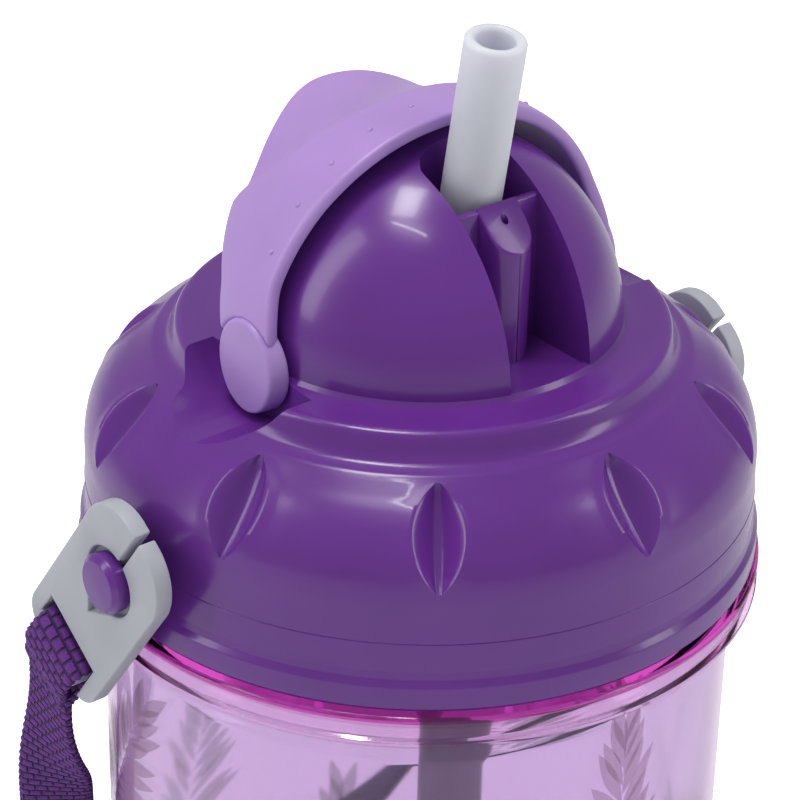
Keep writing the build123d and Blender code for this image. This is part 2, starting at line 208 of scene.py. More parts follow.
def build_mould_grain():
    """Slow changes of gloss and tone that moulded plastic shows, and a height for its skin."""
    inputs = [("Tone", "NodeSocketColor", (0.1, 0.1, 0.1, 1)), ("Variation", "NodeSocketFloat", 0.08),
              ("Roughness", "NodeSocketFloat", 0.25), ("Scale", "NodeSocketFloat", 60.0)]
    outputs = [("Color", "NodeSocketColor"), ("Roughness", "NodeSocketFloat"), ("Height", "NodeSocketFloat")]
    group, start, end = new_group("mould_grain", inputs, outputs)
    nodes, links = group.nodes, group.links
    place = nodes.new("ShaderNodeTexCoord")
    slow = nodes.new("ShaderNodeTexNoise")
    slow.inputs["Detail"].default_value = 3
    links.new(place.outputs["Object"], slow.inputs["Vector"])
    links.new(start.outputs["Scale"], slow.inputs["Scale"])
    swing = nodes.new("ShaderNodeMapRange")
    links.new(slow.outputs["Fac"], swing.inputs["Value"])
    set_inputs(swing, {"From Min": 0.3, "From Max": 0.7, "To Min": -1})
    tint = nodes.new("ShaderNodeMath")
    tint.operation = "MULTIPLY_ADD"
    tint.inputs[2].default_value = 1.0
    links.new(swing.outputs["Result"], tint.inputs[0])
    links.new(start.outputs["Variation"], tint.inputs[1])
    shade = nodes.new("ShaderNodeVectorMath")
    shade.operation = "SCALE"
    links.new(start.outputs["Tone"], shade.inputs[0])
    links.new(tint.outputs[0], shade.inputs["Scale"])
    gloss = nodes.new("ShaderNodeMath")
    gloss.operation = "MULTIPLY"
    links.new(tint.outputs[0], gloss.inputs[0])
    links.new(start.outputs["Roughness"], gloss.inputs[1])
    fine = nodes.new("ShaderNodeTexNoise")
    fine.inputs["Scale"].default_value = 900
    links.new(place.outputs["Object"], fine.inputs["Vector"])
    links.new(shade.outputs[0], end.inputs["Color"])
    links.new(gloss.outputs[0], end.inputs["Roughness"])
    links.new(fine.outputs["Fac"], end.inputs["Height"])
    return group


mould_grain = build_mould_grain()
print("node groups", [group.name for group in bpy.data.node_groups])


# %% Plastic and silicone
def new_material(name):
    material = bpy.data.materials.new(name)
    material.use_nodes = True
    nodes, links = material.node_tree.nodes, material.node_tree.links
    return material, nodes, links, nodes["Principled BSDF"]


def moulded(name, tone, roughness, variation=0.06, bump=0.02, coat=0.0, soft=0.0, soft_reach=0.002):
    material, nodes, links, shader = new_material(name)
    grain = nodes.new("ShaderNodeGroup")
    grain.node_tree = mould_grain
    set_inputs(grain, {"Tone": (*tone, 1), "Variation": variation, "Roughness": roughness})
    links.new(grain.outputs["Color"], shader.inputs["Base Color"])
    links.new(grain.outputs["Roughness"], shader.inputs["Roughness"])
    skin = nodes.new("ShaderNodeBump")
    set_inputs(skin, {"Strength": bump, "Distance": 0.0002})
    links.new(grain.outputs["Height"], skin.inputs["Height"])
    links.new(skin.outputs["Normal"], shader.inputs["Normal"])
    set_inputs(shader, {"IOR": 1.49, "Coat Weight": coat, "Coat Roughness": 0.05, "Subsurface Weight": soft,
                        "Subsurface Radius": (1.0, 0.9, 1.0), "Subsurface Scale": soft_reach})
    return material


cap_purple = moulded("cap_purple", (0.135, 0.026, 0.27), 0.24, coat=0.15, soft=0.05, soft_reach=0.001)
cover_lilac = moulded("cover_lilac", (0.47, 0.29, 0.68), 0.36, soft=0.12, soft_reach=0.0015)
clip_white = moulded("clip_white", (0.46, 0.475, 0.53), 0.42, soft=0.1)
silicone = moulded("silicone", (0.72, 0.74, 0.86), 0.42, soft=0.8, soft_reach=0.005)
inner_tube = moulded("inner_tube", (0.33, 0.25, 0.38), 0.3)
print("materials", [material.name for material in bpy.data.materials])


# %% Clear tinted plastic and its print
def clear_tint_with_painted_light(name, roughness):
    """Colour by height, with painted light: a plain tinted wall, then the flange with a painted dark shade
    line, a pinker pale band and, on its upper edge, a painted highlight and a painted reflection of the
    purple cap. Painted shade also darkens the wall where it is seen edge-on.
    """
    material, nodes, links, shader = new_material(name)
    place = nodes.new("ShaderNodeTexCoord")
    split = nodes.new("ShaderNodeSeparateXYZ")
    links.new(place.outputs["Object"], split.inputs[0])
    level = nodes.new("ShaderNodeMapRange")
    set_inputs(level, {"From Min": (RIM - 8) * MM, "From Max": RIM * MM})
    links.new(split.outputs["Z"], level.inputs["Value"])
    tint = nodes.new("ShaderNodeValToRGB")
    # Painted light on the flange: the plain wall tint up to 0.39, then a painted dark shade line, a pinker
    # pale band, and a painted reflection of the purple cap, bright and then dark, along the upper edge.
    wall_tint_and_painted_flange_light = [(0.0, (0.60, 0.485, 0.655)), (0.39, (0.60, 0.485, 0.655)), (0.425, (0.40, 0.28, 0.43)),
             (0.46, (0.68, 0.42, 0.64)), (0.76, (0.68, 0.38, 0.62)), (0.83, (0.46, 0.02, 0.33)),
             (0.92, (0.34, 0.006, 0.18)), (1.0, (0.30, 0.004, 0.16))]
    while len(tint.color_ramp.elements) < len(wall_tint_and_painted_flange_light):
        tint.color_ramp.elements.new(0.5)
    for stop, (position, colour) in zip(tint.color_ramp.elements, wall_tint_and_painted_flange_light):
        stop.position = position
        stop.color = (*colour, 1)
    links.new(level.outputs["Result"], tint.inputs["Fac"])
    # Painted shade: the wall's colour is multiplied towards dark purple where the wall is seen edge-on.
    edge = nodes.new("ShaderNodeLayerWeight")
    edge.inputs["Blend"].default_value = 0.5
    painted_shade_amount = nodes.new("ShaderNodeMapRange")
    painted_shade_amount.interpolation_type = "SMOOTHSTEP"
    set_inputs(painted_shade_amount, {"From Min": 0.62, "To Max": 0.85})
    links.new(edge.outputs["Facing"], painted_shade_amount.inputs["Value"])
    painted_edge_shade = nodes.new("ShaderNodeMix")
    painted_edge_shade.data_type = "RGBA"
    painted_edge_shade.blend_type = "MULTIPLY"
    painted_edge_shade.inputs["B"].default_value = (0.42, 0.16, 0.46, 1)
    links.new(painted_shade_amount.outputs["Result"], painted_edge_shade.inputs["Factor"])
    links.new(tint.outputs["Color"], painted_edge_shade.inputs["A"])
    links.new(painted_edge_shade.outputs["Result"], shader.inputs["Base Color"])
    set_inputs(shader, {"Roughness": roughness, "IOR": 1.45, "Transmission Weight": 1.0})
    return material


body_clear = clear_tint_with_painted_light("body_clear", 0.05)
print_ink = moulded("print_ink", (0.33, 0.15, 0.30), 0.5)
print_ink.node_tree.nodes["Principled BSDF"].inputs["Alpha"].default_value = 0.45


# %% Webbing
def build_webbing():
    material, nodes, links, shader = new_material("webbing_purple")
    uv = nodes.new("ShaderNodeUVMap")
    uv.uv_map = "weave"
    weave = nodes.new("ShaderNodeTexBrick")
    weave.offset = 0.5
    set_inputs(weave, {"Scale": 1.0, "Brick Width": 1.0, "Row Height": 1.0, "Mortar Size": 0.16,
                       "Mortar Smooth": 1.0, "Color1": (0.135, 0.013, 0.27, 1),
                       "Color2": (0.115, 0.010, 0.23, 1), "Mortar": (0.032, 0.003, 0.075, 1)})
    links.new(uv.outputs["UV"], weave.inputs["Vector"])
    links.new(weave.outputs["Color"], shader.inputs["Base Color"])
    fibre = nodes.new("ShaderNodeTexNoise")
    set_inputs(fibre, {"Scale": 7, "Detail": 5})
    links.new(uv.outputs["UV"], fibre.inputs["Vector"])
    lift = nodes.new("ShaderNodeMath")
    lift.operation = "MULTIPLY_ADD"
    lift.inputs[1].default_value = 0.35
    links.new(fibre.outputs["Fac"], lift.inputs[0])
    flip = nodes.new("ShaderNodeMath")
    flip.operation = "SUBTRACT"
    flip.inputs[0].default_value = 1.0
    links.new(weave.outputs["Fac"], flip.inputs[1])
    links.new(flip.outputs[0], lift.inputs[2])
    bump = nodes.new("ShaderNodeBump")
    set_inputs(bump, {"Strength": 1.0, "Distance": 0.0006})
    links.new(lift.outputs[0], bump.inputs["Height"])
    links.new(bump.outputs["Normal"], shader.inputs["Normal"])
    set_inputs(shader, {"Roughness": 0.62, "Sheen Weight": 0.25, "Sheen Tint": (0.5, 0.3, 0.8, 1)})
    return material


webbing_purple = build_webbing()
print("webbing ready")

# %% [markdown]
# ## The carrying strap
# The strap is 10 mm webbing, about 0.43 m from clip to clip. It drops behind the bottle on both
# sides and its middle lies in one loose loop, standing on its edge. A smooth spline through the
# CAD route gives the middle line, and a flat ribbed band follows it.

# %% The strap's line
strap_route = [
    (-47, 16.5, 98.4), (-45.6, 19.2, 88), (-42.4, 24, 76), (-38, 31, 60), (-33, 40, 43), (-28, 50, 26),
    (-25, 62, 12), (-31, 77, 5.6), (-44, 92, 5.1), (-58, 108, 5.1), (-66, 126, 5.1), (-62, 144, 5.1),
    (-46, 151, 5.1), (-31, 141, 5.1), (-25, 122, 5.1), (-20, 103, 5.1), (-8, 86, 5.1), (10, 73, 5.4),
    (24, 60, 12), (29, 49, 26), (34, 39, 43), (38.6, 30.4, 60), (42.4, 24, 76), (45.6, 19.2, 88),
    (47, 16.5, 98.4),
]


def spline_points(route, resolution=24):
    curve = bpy.data.curves.new("route", "CURVE")
    curve.dimensions = "3D"
    spline = curve.splines.new("NURBS")
    spline.points.add(len(route) - 1)
    for point, place in zip(spline.points, route):
        point.co = (place[0] * MM, place[1] * MM, place[2] * MM, 1)
    spline.order_u = 3
    spline.use_endpoint_u = True
    spline.resolution_u = resolution
    holder = bpy.data.objects.new("route", curve)
    bpy.context.collection.objects.link(holder)
    bpy.context.view_layer.update()
    mesh = bpy.data.meshes.new_from_object(holder)
    points = np.array([vertex.co for vertex in mesh.vertices])
    bpy.data.objects.remove(holder)
    bpy.data.meshes.remove(mesh)
    return points


def spaced(points, step):
    gaps = np.linalg.norm(np.diff(points, axis=0), axis=1)
    along = np.concatenate([[0], np.cumsum(gaps)])
    places = np.linspace(0, along[-1], max(2, int(ceil(along[-1] / step)) + 1))
    return np.stack([np.interp(places, along, points[:, k]) for k in range(3)], axis=1), places


strap_line = spline_points(strap_route)
strap_length = float(np.linalg.norm(np.diff(strap_line, axis=0), axis=1).sum())
print("strap length", round(strap_length, 4))


# %% A ribbed band along a line
def webbing_band(name, line, widths, width=10.0, thickness=1.8, pitch=1.3, step=0.26):
    """line in metres; widths(tangent, place) gives the direction across the band at each point."""
    points, along = spaced(line, step * MM)
    tangents = np.gradient(points, axis=0)
    tangents /= np.linalg.norm(tangents, axis=1)[:, None]
    across = np.array([widths(t, place) for t, place in zip(tangents, along)])
    across -= (across * tangents).sum(1)[:, None] * tangents
    across /= np.linalg.norm(across, axis=1)[:, None]
    normals = np.cross(tangents, across)
    lanes = np.linspace(-1, 1, 17)
    thread = 1.7  # width of one thread of the weave
    rows, uvs = [], []
    rib = 0.5 + 0.5 * np.cos(2 * pi * along / (pitch * MM))
    for side in (1, -1):
        for lane in lanes * side:
            edge = (1 - abs(lane) ** 6) ** 0.5
            height = (thickness / 2 * (0.4 + 0.6 * edge) - 0.22 * (1 - rib) * (0.3 + 0.7 * edge)) * side
            reach = lane * (width / 2 - 0.18 * (1 - rib) * abs(lane) ** 4)
            rows.append(points / MM + across * np.asarray(reach)[:, None] + normals * height[:, None])
            u = (lane + 1) * width / 2 / thread + (0.5 if side < 0 else 0)
            uvs.append(np.stack([np.full(len(along), u), along / (pitch * MM) + 0.5], axis=1))
    rings = np.stack(rows, axis=1)
    count, lanes_count = rings.shape[:2]
    faces = grid_faces(count, lanes_count, False, True)
    faces.append(list(range(lanes_count)))
    faces.append([(count - 1) * lanes_count + k for k in range(lanes_count)][::-1])
    mesh = mesh_from(name, rings, faces)
    layer = mesh.uv_layers.new(name="weave")
    flat = np.stack(uvs, axis=1).reshape(-1, 2)
    loops = np.array([loop.vertex_index for loop in mesh.loops])
    layer.data.foreach_set("uv", flat[loops].astype(np.float32).ravel())
    work = bmesh.new()
    work.from_mesh(mesh)
    bmesh.ops.recalc_face_normals(work, faces=work.faces)
    work.to_mesh(mesh)
    work.free()
    return add_object(name, mesh, webbing_purple)


CLIP_HANG = radians(36)
clip_down = np.array((0, sin(CLIP_HANG), -cos(CLIP_HANG)))
clip_across = np.array((0, cos(CLIP_HANG), sin(CLIP_HANG)))


def strap_across(tangent, place):
    """Flat against the clip at both ends, standing on its edge everywhere else."""
    normal = np.cross((0, 0, 1), tangent)
    side = np.cross(tangent, normal)
    side /= max(np.linalg.norm(side), 1e-9)
    left = place < strap_length / 2
    near = (place if left else strap_length - place) / MM
    turned = np.array((-0.88 if left else 0.88, 0.42, 0.2))

    def ease(low, high):
        t = min(max((near - low) / (high - low), 0), 1)
        return t * t * (3 - 2 * t)

    off_clip, on_edge = ease(4, 34), ease(55, 130)
    return clip_across * (1 - off_clip) + turned * off_clip * (1 - on_edge) + side * on_edge


strap = webbing_band("strap_band", strap_line, strap_across)
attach(strap, "cap")
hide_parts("strap")
print("strap faces", len(strap.data.polygons))

# %% [markdown]
# ## The clear body
# The body is one piece of clear tinted plastic: a straight wall, a rounded foot
# with a hollow under it, and a flange below the cap whose thin double edge carries painted highlight, shade
# and reflection colours.
# A turned outline makes it, inside and outside in one loop, so light bends through a real wall.

# %% Body
BODY_R, FLANGE_R, NECK_R = 41.3, 44.5, 38.6
WALL = 1.6

outside = fillet_corners(
    [(0, 3.2), (27, 2.2), (31.5, 0.0), (36, 0.0), (BODY_R, 3.2), (BODY_R, RIM - 8), (BODY_R + 0.2, RIM - 6.2),
     (FLANGE_R - 0.5, RIM - 4.9), (FLANGE_R, RIM - 4.5), (FLANGE_R, RIM - 4.0), (FLANGE_R - 0.7, RIM - 3.6),
     (FLANGE_R - 0.7, RIM - 1.5), (FLANGE_R, RIM - 1.2), (FLANGE_R, RIM - 0.7), (FLANGE_R - 0.4, RIM - 0.4),
     (NECK_R, RIM - 0.4), (NECK_R, RIM + 14), (NECK_R - 1.8, RIM + 14)],
    [2, 1.5, 1.5, 4, 6, 1, 0.6, 0.2, 0.15, 0.2, 0.3, 0.3, 0.2, 0.15, 0.15, 0.4, 0.5], steps=4,
)
inside = fillet_corners(
    [(NECK_R - 1.8, RIM + 14), (NECK_R - 1.8, RIM - 3), (BODY_R - WALL, RIM - 9.5), (BODY_R - WALL, 6.0),
     (33, 2.4), (27, 4.2), (0, 5.0)],
    [2, 3, 5, 3, 3], steps=4,
)
outline = np.vstack([outside, inside[1:]])
outline[:, 0] = np.maximum(outline[:, 0], 0.02)
body_mesh = lathe("body_wall", outline, 224, closed=False)
body = add_object("body_wall", body_mesh, body_clear)
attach(body, "bottle")
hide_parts("bottle_body")
print("body faces", len(body_mesh.polygons))

# %% [markdown]
# ## The cap's shoulder
# The skirt rises to a domed shoulder, a small groove, a cove and a flat ledge. Ten leaf-shaped
# finger grips are pressed into it: each is a valley with a narrow flat keel and a soft rim. The
# shoulder is one grid whose points are pushed in where a grip lies.

# %% Shoulder outline
SKIRT_R, SEAM, LEDGE = 43.1, RIM + 9.4, RIM + 31.0
DOME_R, DOME_Z = 25.2, RIM + 30.8
PIVOT_Z = RIM + 32.0

shoulder_outer = smooth_line([
    (SKIRT_R + 0.15, SEAM), (SKIRT_R + 0.05, RIM + 12.5), (SKIRT_R, RIM + 15.2), (42.6, RIM + 17.8),
    (41.5, RIM + 20.2), (39.9, RIM + 22.3), (38.1, RIM + 24.0), (36.3, RIM + 25.4), (34.9, RIM + 26.5),
], 9)
shoulder_top = smooth_line([
    (34.9, RIM + 26.5), (34.25, RIM + 26.95), (33.4, RIM + 27.2), (32.6, RIM + 27.55), (32.0, RIM + 28.4),
    (31.6, RIM + 29.6), (31.3, RIM + 30.5), (30.7, RIM + 30.95), (29.6, RIM + 31.0),
], 5)
ledge_line = np.array([(28.0, RIM + 31.0), (26.4, RIM + 31.05), (25.6, RIM + 31.25), (25.1, RIM + 31.9)])
outer_line = np.vstack([shoulder_outer, shoulder_top[1:], ledge_line])
inner_line = np.array([(24.0, RIM + 31.8), (24.0, RIM + 23.0), (33.0, RIM + 22.4), (38.0, RIM + 18.5),
                       (41.3, RIM + 14.0), (41.4, SEAM)])
print("outline points", len(outer_line), len(inner_line))


# %% Finger grips
GRIPS, GRIP_HALF_WIDTH, GRIP_DEPTH, KEEL = 10, 3.3, 2.5, 0.34
grip_from = (SKIRT_R, RIM + 16.2)
grip_to = (34.9, RIM + 26.4)


def pressed_shoulder(columns=640):
    line = outer_line
    steps = np.linalg.norm(np.diff(line, axis=0), axis=1)
    along = np.concatenate([[0], np.cumsum(steps)])
    tangent = np.gradient(line, axis=0)
    tangent /= np.linalg.norm(tangent, axis=1)[:, None]
    normal = np.stack([tangent[:, 1], -tangent[:, 0]], axis=1)
    low = along[np.argmin(np.linalg.norm(line - grip_from, axis=1))]
    high = along[np.argmin(np.linalg.norm(line - grip_to, axis=1))]
    b = (2 * along - low - high) / (high - low)
    spread = 2 * pi / GRIPS
    leaf = np.clip(1 - np.abs(b) ** 2.0, 0, 1)
    half = GRIP_HALF_WIDTH * leaf ** 0.8 + 1e-4
    per_grip = columns // GRIPS
    s = (np.arange(per_grip) + 0.5) / per_grip * 2 - 1
    inner = 0.62  # this share of the columns lies inside the leaf, so that its rim follows them
    rim_angle = np.maximum(half, 0.5)[:, None] / line[:, 0][:, None]
    inside = np.clip(np.abs(s) / inner, 0, 1)[None, :] * rim_angle
    outside = np.clip((np.abs(s) - inner) / (1 - inner), 0, 1)[None, :] * (spread / 2 - rim_angle)
    off = (inside + outside) * np.sign(s)
    angles = (off[:, None, :] + (np.arange(GRIPS) * spread - pi / 2)[None, :, None]).reshape(len(line), -1)
    sideways = np.tile(np.abs(off) * line[:, 0][:, None], (1, GRIPS))
    columns = angles.shape[1]
    u = sideways / half[:, None]
    valley = np.clip((sideways - KEEL) / np.maximum(half - KEEL, 1e-3)[:, None], 0, 1)
    wall = 0.5 + 0.5 * np.cos(pi * valley)
    wall = 0.45 * wall + 0.55 * (1 - valley)
    depth = GRIP_DEPTH * (leaf[:, None] ** 0.75) * np.where(u < 1, wall, 0)
    near = np.exp(-(((u - 1) * half[:, None]) / 0.9) ** 2) * (leaf[:, None] ** 0.5)
    lift = 0.22 * near * (leaf[:, None] > 0)
    shift = lift - depth
    radius = line[:, 0][:, None] + normal[:, 0][:, None] * shift
    height = line[:, 1][:, None] + normal[:, 1][:, None] * shift
    points = np.stack([radius * np.cos(angles), radius * np.sin(angles), height], axis=-1)
    turn = angles[0]
    under = np.stack([inner_line[:, 0][:, None] * np.cos(turn), inner_line[:, 0][:, None] * np.sin(turn),
                      np.repeat(inner_line[:, 1][:, None], columns, axis=1)], axis=-1)
    rings = np.concatenate([points, under])
    mesh = mesh_from("cap_shoulder", rings, grid_faces(len(rings), columns, True, True))
    return face_outwards(mesh)


shoulder_mesh = pressed_shoulder()
print("shoulder faces", len(shoulder_mesh.polygons))


# %% Cutting scoops and slots
def tube_solid(name, centre, radius, length, axis, columns=96):
    centre, axis = np.asarray(centre, float), np.asarray(axis, float)
    side = np.cross(axis, (0.0, 0.0, 1.0))
    side /= np.linalg.norm(side)
    other = np.cross(axis, side) / np.linalg.norm(axis)
    angles = np.linspace(0, 2 * pi, columns, endpoint=False)
    ring = radius * (np.cos(angles)[:, None] * side + np.sin(angles)[:, None] * other)
    points = np.concatenate([centre + ring, centre + ring + axis * length])
    faces = grid_faces(2, columns, False, True)
    faces += [list(range(columns)), list(range(columns, 2 * columns))]
    return face_outwards(mesh_from(name, points, faces))


def prism(name, plan, low, high):
    plan = np.asarray(plan, float)
    count = len(plan)
    points = np.concatenate([np.column_stack([plan, np.full(count, low)]),
                             np.column_stack([plan, np.full(count, high)])])
    faces = grid_faces(2, count, False, True) + [list(range(count)), list(range(count, 2 * count))]
    return face_outwards(mesh_from(name, points, faces))


def cut(mesh, cutters, name, operation="DIFFERENCE"):
    holder = add_object(name, mesh)
    tools = []
    for cutter in cutters:
        tool = add_object("cutter", cutter)
        change = holder.modifiers.new("cut", "BOOLEAN")
        change.object = tool
        change.operation = operation
        change.solver = "EXACT"
        tools.append(tool)
    result = baked(holder, *tools)
    result.name = name
    return result


scoops = [tube_solid("scoop", (side * 25.3, 0, RIM + 36.6), 11.6, 14, (side, 0, 0)) for side in (-1, 1)]
shoulder_mesh = cut(shoulder_mesh, scoops, "cap_shoulder")
shoulder = add_object("cap_shoulder", shoulder_mesh, cap_purple, smooth_angle=38)
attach(shoulder, "cap")
print("cut shoulder faces", len(shoulder_mesh.polygons))

# %% [markdown]
# ## The dome
# A half ball stands on the ledge. A slot runs forward from its top for the folded straw, with a
# bridge across it and a small vent post in front of the bridge. The slot is cut from a solid half
# ball, and the bridge and post are added as closed pieces that run into it.

# %% Dome with its slot
dome_rows = [(max(DOME_R * cos(angle), 0.02), DOME_Z + DOME_R * sin(angle))
             for angle in np.linspace(0, pi / 2, 49)]
dome_outline = [(0.02, LEDGE - 1.5), (DOME_R, LEDGE - 1.5)] + dome_rows
dome_mesh = lathe("dome", dome_outline, 240, closed=False)
caps = bmesh.new()
caps.from_mesh(dome_mesh)
bmesh.ops.holes_fill(caps, edges=[edge for edge in caps.edges if edge.is_boundary], sides=0)
bmesh.ops.recalc_face_normals(caps, faces=caps.faces)
caps.to_mesh(dome_mesh)
caps.free()

SLOT = 6.3
rear_wall = smooth_line([(-SLOT, -7.2), (-6.1, -6.2), (-5.4, -5.1), (-4.2, -4.1), (-2.4, -3.4), (0, -3.2),
                         (2.4, -3.4), (4.2, -4.1), (5.4, -5.1), (6.1, -6.2), (SLOT, -7.2)], 4)
slot_plan = np.vstack([[(-SLOT, -34)], rear_wall, [(SLOT, -34)]])
dome_mesh = cut(dome_mesh, [prism("slot", slot_plan, LEDGE + 0.5, LEDGE + 40)], "dome")
dome = add_object("dome", dome_mesh, cap_purple, smooth_angle=38)
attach(dome, "cap")
print("dome faces", len(dome_mesh.polygons))

# %% Bridge and vent post
BRIDGE_Y, BRIDGE_TOP = -13.6, RIM + 50.8
BRIDGE_BACK = BRIDGE_Y + 1.15


def rounded_box(name, low, high, rounding, segments=3):
    work = bmesh.new()
    bmesh.ops.create_cube(work, size=1.0)
    low, high = Vector(low) * MM, Vector(high) * MM
    for vertex in work.verts:
        vertex.co = Vector([(low[k] + high[k]) / 2 + vertex.co[k] * (high[k] - low[k]) for k in range(3)])
    bmesh.ops.bevel(work, geom=work.edges[:], offset=rounding * MM, segments=segments, profile=0.5,
                    affect="EDGES", clamp_overlap=True)
    mesh = bpy.data.meshes.new(name)
    work.to_mesh(mesh)
    work.free()
    return mesh


bridge_mesh = rounded_box("slot_bridge", (-SLOT - 0.6, BRIDGE_Y, LEDGE),
                          (SLOT + 0.6, BRIDGE_BACK, BRIDGE_TOP), 0.3)
bridge = add_object("slot_bridge", bridge_mesh, cap_purple, smooth_angle=40)
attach(bridge, "cap")

POST_HALF, POST_NOSE, VENT_Y, VENT_R = 3.1, -18.0, -14.9, 0.5
TOP_BACK, TOP_NOSE = RIM + 50.8, RIM + 46.2


def vent_post():
    """A D-shaped post cut off by a sloping plane, with rounded edges and a vent hole."""
    plan = [(POST_HALF, BRIDGE_Y + 0.5), (POST_HALF, -15.2)]
    plan += [(POST_HALF * cos(t), -15.4 + (POST_NOSE + 15.4) * sin(t) ** 0.9)
             for t in np.linspace(0.15, pi - 0.15, 17)]
    plan += [(-POST_HALF, -15.2), (-POST_HALF, BRIDGE_Y + 0.5)]
    work = bmesh.new()
    work.from_mesh(prism("post", plan, LEDGE, RIM + 56))
    slope = Vector((0, TOP_BACK - TOP_NOSE, POST_NOSE - BRIDGE_Y)).normalized()
    everything = work.verts[:] + work.edges[:] + work.faces[:]
    cut_edges = bmesh.ops.bisect_plane(work, geom=everything, plane_co=Vector((0, BRIDGE_Y, TOP_BACK)) * MM,
                                       plane_no=slope, clear_inner=True)["geom_cut"]
    rim = [item for item in cut_edges if isinstance(item, bmesh.types.BMEdge)]
    bmesh.ops.contextual_create(work, geom=rim)
    bmesh.ops.recalc_face_normals(work, faces=work.faces)
    bmesh.ops.bevel(work, geom=rim, offset=0.28 * MM, segments=3, profile=0.5, affect="EDGES",
                    clamp_overlap=True)
    mesh = bpy.data.meshes.new("vent_post")
    work.to_mesh(mesh)
    work.free()
    hole = tube_solid("vent", (0, VENT_Y, RIM + 44), VENT_R, 12, (0.0, 0.02, 1.0), 28)
    return cut(mesh, [hole], "vent_post")


def parting_line():
    """A hair-thin seam down the slope and the nose of the post."""
    proud = POST_NOSE - 0.07
    inside_post = POST_NOSE + 0.4
    path = [(VENT_Y - 0.8, TOP_BACK - 0.55 - (TOP_BACK - TOP_NOSE) * 0.55), (proud, TOP_NOSE - 0.25),
            (proud, LEDGE + 0.1), (inside_post, LEDGE + 0.1), (inside_post, TOP_NOSE - 0.2)]
    points = [(x, y, z) for x in (-0.06, 0.06) for y, z in path]
    count = len(path)
    faces = grid_faces(2, count, False, True) + [list(range(count)), list(range(count, 2 * count))]
    return face_outwards(mesh_from("parting_line", points, faces))


post = add_object("vent_post", vent_post(), cap_purple, smooth_angle=40)
seam = add_object("parting_line", parting_line(), cap_purple)
for piece in (post, seam):
    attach(piece, "cap")
print("bridge and post ready", len(post.data.polygons))

# %% [markdown]
# ## Collar
# The bead at the foot of the cap is the lower edge of the part that screws on. It is turned.

# %% Collar
collar_outline = fillet_corners([
    (41.0, RIM + 14.0), (41.0, RIM + 0.6), (41.6, RIM), (43.4, RIM), (44.0, RIM + 0.7), (44.0, RIM + 3.6),
    (43.45, RIM + 4.4), (43.3, RIM + 5.4), (43.3, SEAM - 0.12), (42.9, SEAM + 0.1), (41.0, SEAM + 0.1)],
    [0.2, 0.3, 0.5, 0.5, 0.5, 0.5, 0.6, 0.15, 0.1], 4)
collar_mesh = lathe("collar_band", collar_outline, 240, closed=False)
collar = add_object("collar_band", collar_mesh, cap_purple, smooth_angle=40)
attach(collar, "cap")
for part in (shoulder, dome, bridge, post):
    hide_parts("cap_shell")
print("collar faces", len(collar_mesh.polygons))

# %% [markdown]
# ## The swinging cover
# A band of a ball swings about two trunnions. Behind a curved crease it flares into a thumb lip.
# One grid follows that rule; its thickness and its rounded rim come from Solidify and Subdivision.

# %% Cover
COVER_R, COVER_WALL = 28.2, 1.9
LIP_HALF = 19.8  # half the width of the thumb lip, measured along X
lip_rim = smooth_line([(-6, 19.3, RIM + 56.0), (0, 21.0, RIM + 56.4), (6, 19.3, RIM + 56.0),
                       (12, 16.6, RIM + 53.1), (17.6, 13.9, RIM + 47.8), (LIP_HALF, 13.2, RIM + 47.1)], 8)[8:]


def cover_shell():
    """One column per place across the cover, from its front edge over the crease to its rear edge."""
    rows = []
    for beta in np.radians(np.linspace(-78, 78, 93)):
        x = COVER_R * sin(beta)
        size = abs(x)
        rho = COVER_R * cos(beta)
        front_y = -4.8 + 1.9 * min(size / 25.5, 1) ** 1.5 - max(11 - rho, 0) * 0.3
        front = acos(min(-front_y / rho, 0.98))
        crease_y = 3.6 + 3.7 * min(size / 16, 1) ** 2 + 5.9 * (max(size - 16, 0) / 3.8) ** 1.5
        rear = radians(106.5) + max(0.43, 4.7 / rho)
        crease = min(acos(max(-crease_y / rho, -1)), rear - 0.03)
        column = [(-rho * cos(a), PIVOT_Z + rho * sin(a)) for a in np.linspace(front, crease, 13)]
        start = np.array(column[-1])
        if size < LIP_HALF:
            end = np.array([np.interp(size, lip_rim[:, 0], lip_rim[:, k]) for k in (1, 2)])
        else:
            end = np.array([-rho * cos(rear), PIVOT_Z + rho * sin(rear)])
        step = end - start
        length = np.linalg.norm(step)
        inward = np.array([step[1], -step[0]]) / max(length, 1e-6)
        sag = 1.2 * min(length / 15, 1)
        for t in np.linspace(0, 1, 11)[1:]:
            column.append(start + step * t + inward * sag * max(sin(pi * t), 0) ** 0.8)
        rows.append([(x, y, z) for y, z in column])
    points = np.array(rows)
    return mesh_from("cover_shell", points, grid_faces(points.shape[0], points.shape[1]))


cover_holder = add_object("cover_shell", cover_shell())
wall = cover_holder.modifiers.new("wall", "SOLIDIFY")
wall.thickness = COVER_WALL * MM
wall.offset = 1
rounding = cover_holder.modifiers.new("rounding", "SUBSURF")
rounding.levels = rounding.render_levels = 2
cover_final = baked(cover_holder)
cover = add_object("cover_shell", face_outwards(cover_final), cover_lilac)
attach(cover, "visor")
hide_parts("visor")
print("cover faces", len(cover_final.polygons))


